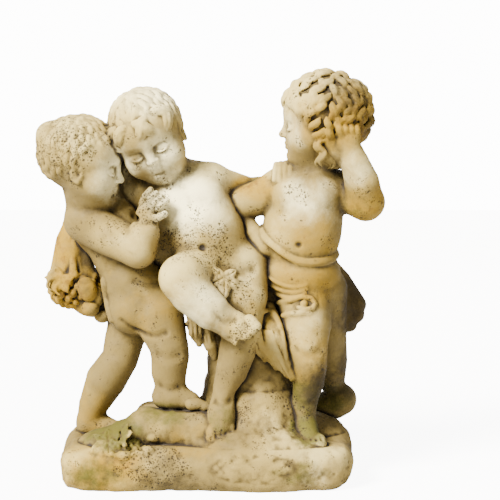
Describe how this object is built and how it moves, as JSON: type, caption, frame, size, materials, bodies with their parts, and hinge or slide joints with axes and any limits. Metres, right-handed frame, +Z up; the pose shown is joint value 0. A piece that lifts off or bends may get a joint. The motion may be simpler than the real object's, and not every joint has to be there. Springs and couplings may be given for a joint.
{
  "type": "stone putto group",
  "caption": "Carved garden statue of chubby infants with vine leaves, grapes and drapery on a rocky plinth, one weathered block that stands by its own weight.",
  "frame": {"origin": "middle of the plinth's flat underside, on the ground", "axes": "+Z up, -Y towards the viewer in front, +X to the viewer's right, along the plinth's length"},
  "size_m": [0.765, 0.3322, 0.9002],
  "materials": {
    "weathered_stone": "weathered cream marble, matt, with ochre lichen, green moss and dark pits"
  },
  "bodies": {
    "root": {"putto_group": "weathered_stone"}
  },
  "joints": []
}
